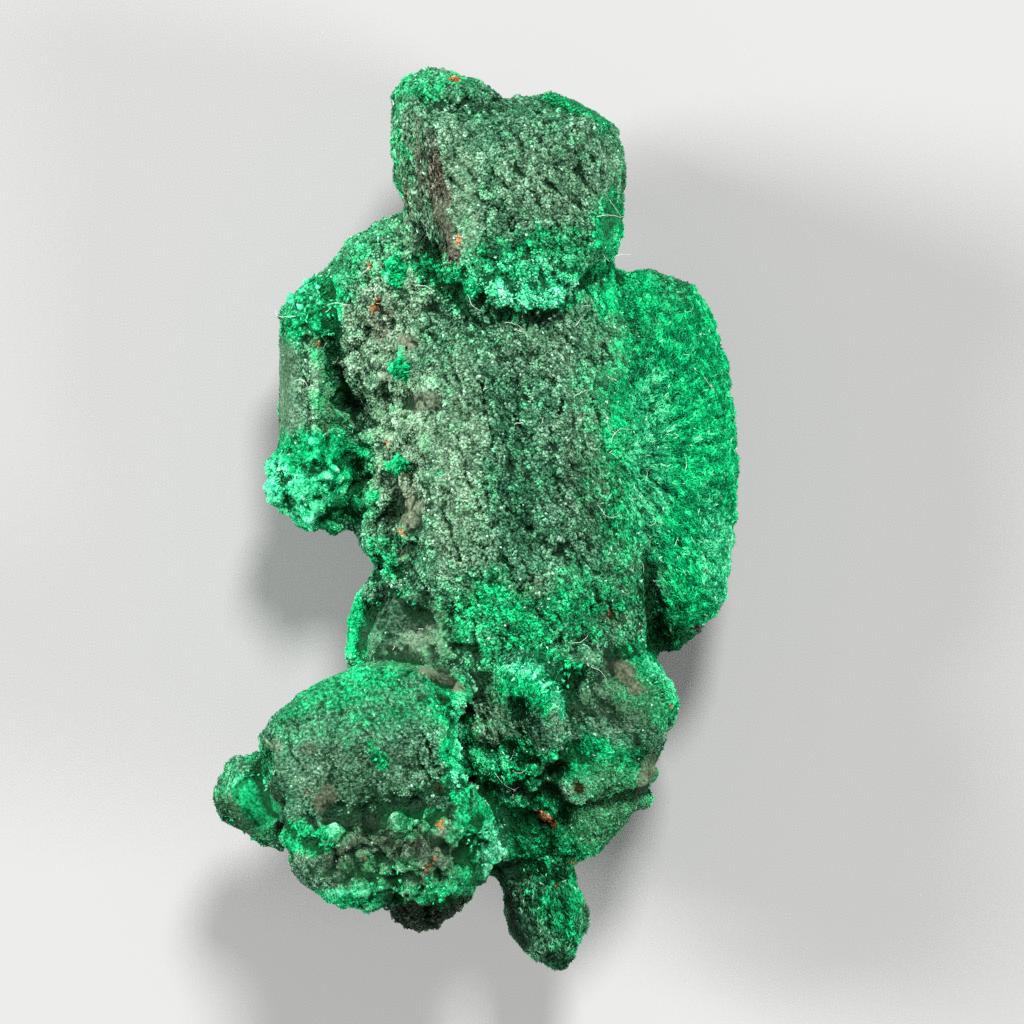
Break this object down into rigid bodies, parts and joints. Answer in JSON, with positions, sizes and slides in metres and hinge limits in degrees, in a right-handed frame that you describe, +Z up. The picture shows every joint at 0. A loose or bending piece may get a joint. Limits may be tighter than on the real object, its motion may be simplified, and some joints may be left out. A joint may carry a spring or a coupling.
{
  "type": "azurite specimen",
  "caption": "Hand-sized mineral specimen: intergrown blocky crystals altered to green malachite, with a thin-rimmed fan, budded clusters and a worn flat on the back.",
  "frame": {"origin": "below the middle of the group, on the surface that it rests on", "axes": "+Y along the group towards its top crystal, +X towards the fan, +Z up, away from the rest flat"},
  "size_m": [0.0284, 0.0486, 0.0199],
  "materials": {
    "malachite": "rough velvety crust of tiny crystals"
  },
  "bodies": {
    "root": {"azurite_specimen": "malachite"}
  },
  "joints": []
}
